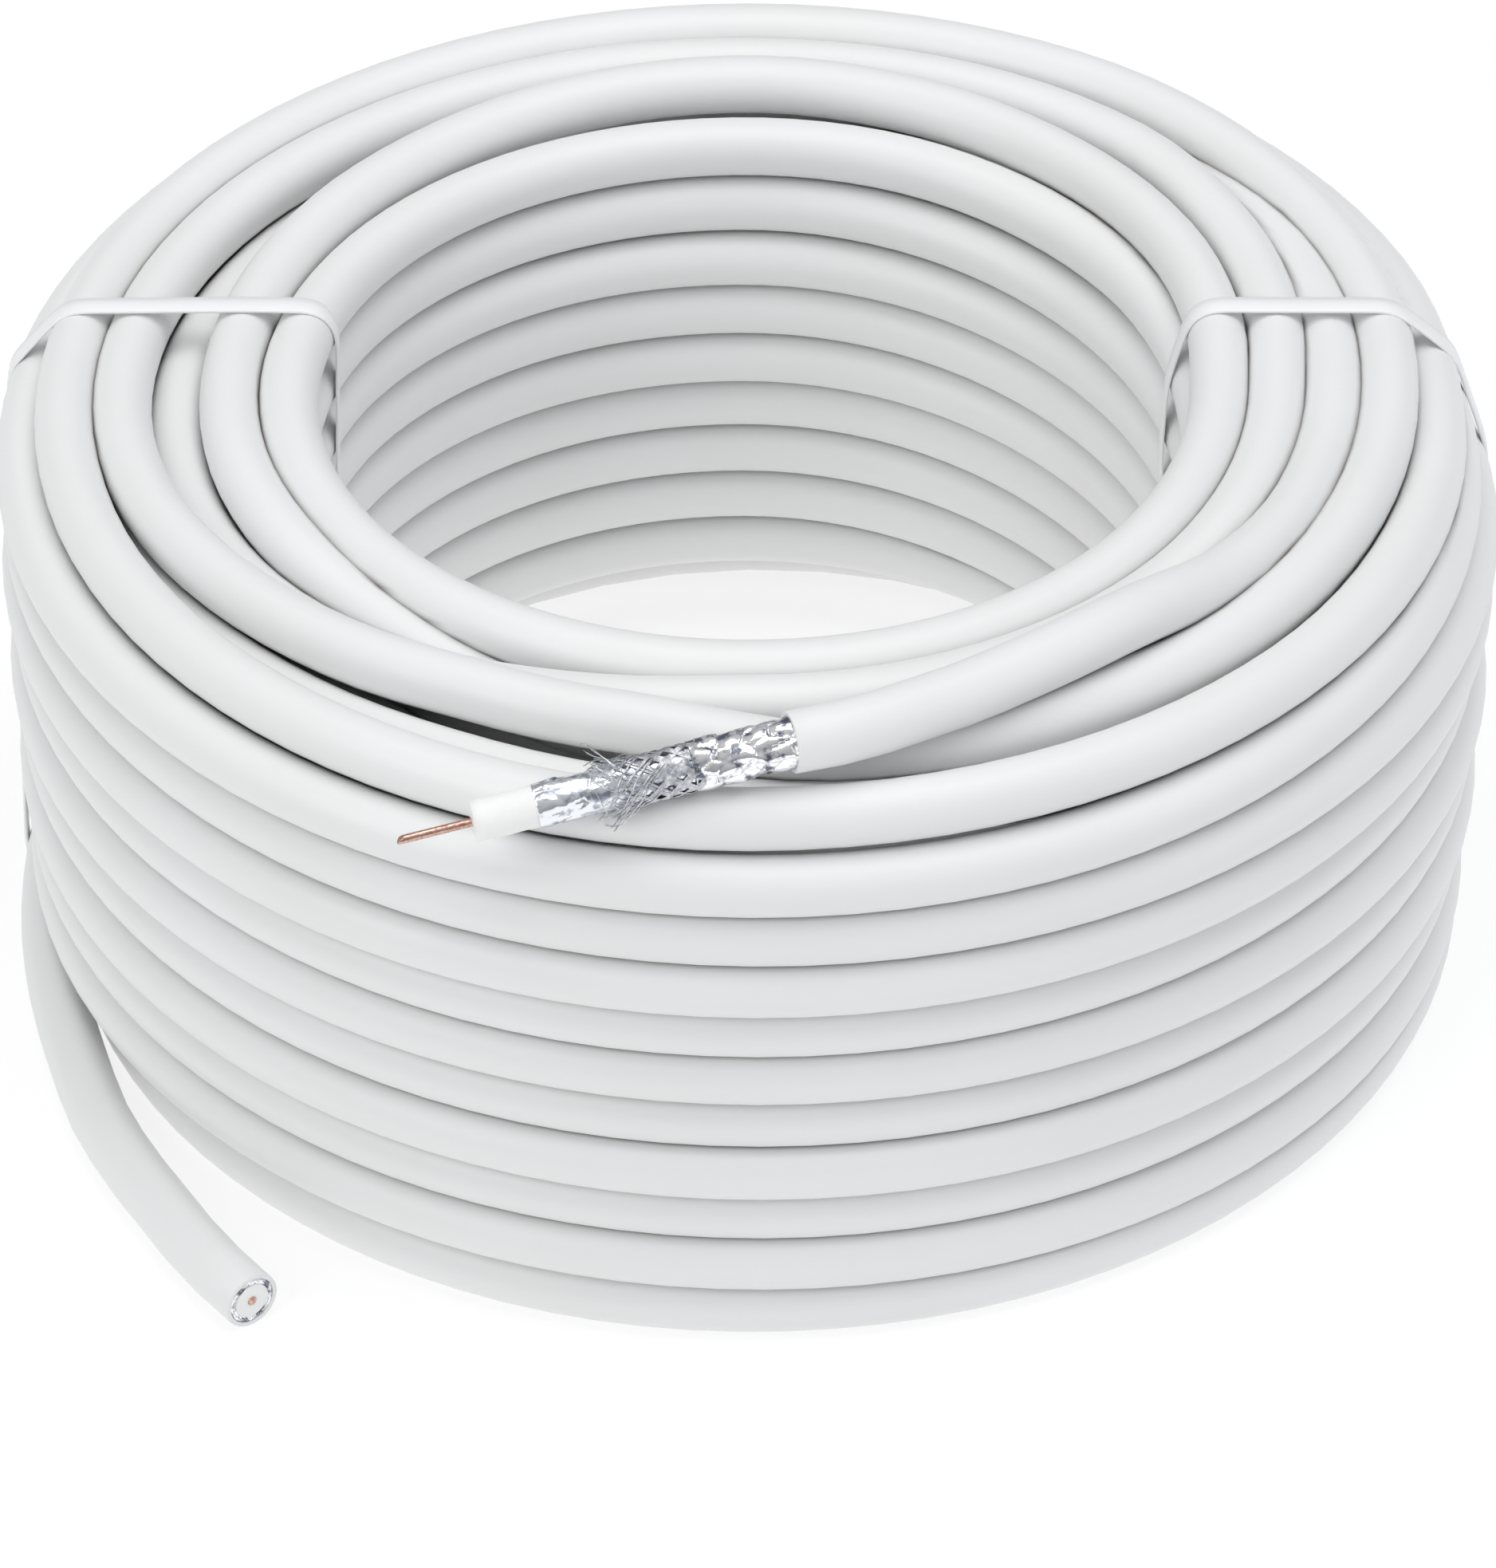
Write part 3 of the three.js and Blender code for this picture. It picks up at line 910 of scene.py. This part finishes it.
foam_white, nodes, links, shader, grain = start_material(
    "foam_white", plastic_grain, {"Grain": 4500.0, "Patches": 400.0}
)
colour = blend_colours(nodes, links, grain.outputs["Mask"], (0.88, 0.88, 0.87), (0.94, 0.94, 0.93))
links.new(colour, shader.inputs["Base Color"])
spread_roughness(nodes, links, shader, grain.outputs["Mask"], 0.55, 0.75)
bump_with(nodes, links, shader, grain.outputs["Height"], 0.3, 0.0001)
for piece in (foam, tail_foam):
    piece.data.materials.append(foam_white)
print("straps and foam finished")

# %% [markdown]
# Foil is a bright mirror. Its colour is painted with dark patches with sharp edges, which stand
# for the dark reflections in its creases, more of them on the loose outer wrap than on the foil
# bonded to the foam. The braid is aluminium wire, a little rougher. The core is drawn copper,
# warm and slightly mottled.

# %% Finish the metals


def finish_metal(name, pieces, values, dark_colour, bright, smooth, rough, bump):
    """A metal with darker spots, painted reflections on the foil: colours, roughness range and bump
    strength.
    """
    material, nodes, links, shader, marks_and_reflections = start_material(name, metal_marks_and_reflections, values)
    shader.inputs["Metallic"].default_value = 1
    # The darker colour is painted reflection on the foil, and dull spots on the wire and the copper
    colour = blend_colours(nodes, links, marks_and_reflections.outputs["Mask"], dark_colour, bright)
    links.new(colour, shader.inputs["Base Color"])
    spread_roughness(nodes, links, shader, marks_and_reflections.outputs["Mask"], rough, smooth)
    bump_with(nodes, links, shader, marks_and_reflections.outputs["Height"], bump, 0.0002)
    for piece in pieces:
        piece.data.materials.append(material)


# On the foil the sharp dark patches are painted reflections
foil_reflections = {"Spots": 650.0, "Sharpness": 9.0, "Balance": 1.1}
wire_marks = {"Spots": 2500.0, "Sharpness": 3.0, "Balance": 0.5}
wraps, wires_seen, cores = (outer_wrap, tail_foil), (braid, tail_wires), (core, tail_core)
finish_metal("foil_bright", wraps, foil_reflections, (0.17, 0.19, 0.24), (0.95, 0.96, 0.98), 0.08, 0.25, 0.5)
finish_metal("foil_inner", (inner_wrap,), foil_reflections, (0.36, 0.39, 0.46), (0.88, 0.90, 0.94), 0.16, 0.3, 0.5)
finish_metal("braid_wire", wires_seen, wire_marks, (0.44, 0.45, 0.47), (0.84, 0.85, 0.88), 0.2, 0.38, 0.2)
finish_metal("drawn_copper", cores, wire_marks, (0.42, 0.23, 0.18), (0.74, 0.50, 0.42), 0.2, 0.38, 0.15)
print("metals finished")

# %% [markdown]
# The floor glows a little, like the lit table that such pictures are taken on, so it stays
# white and keeps only a faint shadow. A large soft light overhead makes the tops of the turns
# bright and lets their lower sides fall into shade, two weaker ones at the sides keep the wall
# open, and the surroundings are a pale studio that darkens towards the horizon, so that the
# foil and the wires have something dark to mirror.

# %% Set the floor and the lights
FLOOR_SIZE = 4.0

floor_mesh = bpy.data.meshes.new("floor")
half = FLOOR_SIZE / 2
corners = [(-half, -half, 0), (half, -half, 0), (half, half, 0), (-half, half, 0)]
floor_mesh.from_pydata(corners, [], [(0, 1, 2, 3)])
floor = bpy.data.objects.new("floor", floor_mesh)
bpy.context.scene.collection.objects.link(floor)
floor_white, nodes, links, shader, grain = start_material(
    "floor_white", plastic_grain, {"Grain": 200.0, "Patches": 2.0}
)
colour = blend_colours(nodes, links, grain.outputs["Mask"], (0.34, 0.34, 0.34), (0.36, 0.36, 0.36))
links.new(colour, shader.inputs["Base Color"])
shader.inputs["Roughness"].default_value = 0.8
shader.inputs["Specular IOR Level"].default_value = 0.1
shader.inputs["Emission Color"].default_value = (1, 1, 1, 1)
shader.inputs["Emission Strength"].default_value = 0.68
floor_mesh.materials.append(floor_white)


def add_light(name, place, size, power):
    """A square soft light that shines at the coil."""
    data = bpy.data.lights.new(name, "AREA")
    data.size = size
    data.energy = power
    light = bpy.data.objects.new(name, data)
    light.location = place
    light.rotation_euler = (Vector((0, 0, 0.03)) - Vector(place)).to_track_quat("-Z", "Y").to_euler()
    bpy.context.scene.collection.objects.link(light)
    return light


add_light("overhead", (0.15, 0.0, 1.5), 1.2, 9.5)
add_light("front_left", (-1.0, -1.0, 1.0), 1.0, 7)
right_fill = add_light("right_fill", (1.3, -0.5, 0.7), 0.9, 2.5)
right_fill.data.color = (0.82, 0.89, 1.0)

world = bpy.data.worlds.new("studio")
bpy.context.scene.world = world
world.use_nodes = True
nodes, links = world.node_tree.nodes, world.node_tree.links
upward = nodes.new("ShaderNodeSeparateXYZ")
links.new(nodes.new("ShaderNodeTexCoord").outputs["Generated"], upward.inputs["Vector"])
sky = blend_colours(nodes, links, upward.outputs["Z"], (0.42, 0.44, 0.47), (1.0, 1.0, 1.0))
links.new(sky, nodes["Background"].inputs["Color"])
nodes["Background"].inputs["Strength"].default_value = 0.62
bpy.context.scene.view_settings.view_transform = "Standard"
print("stage set")
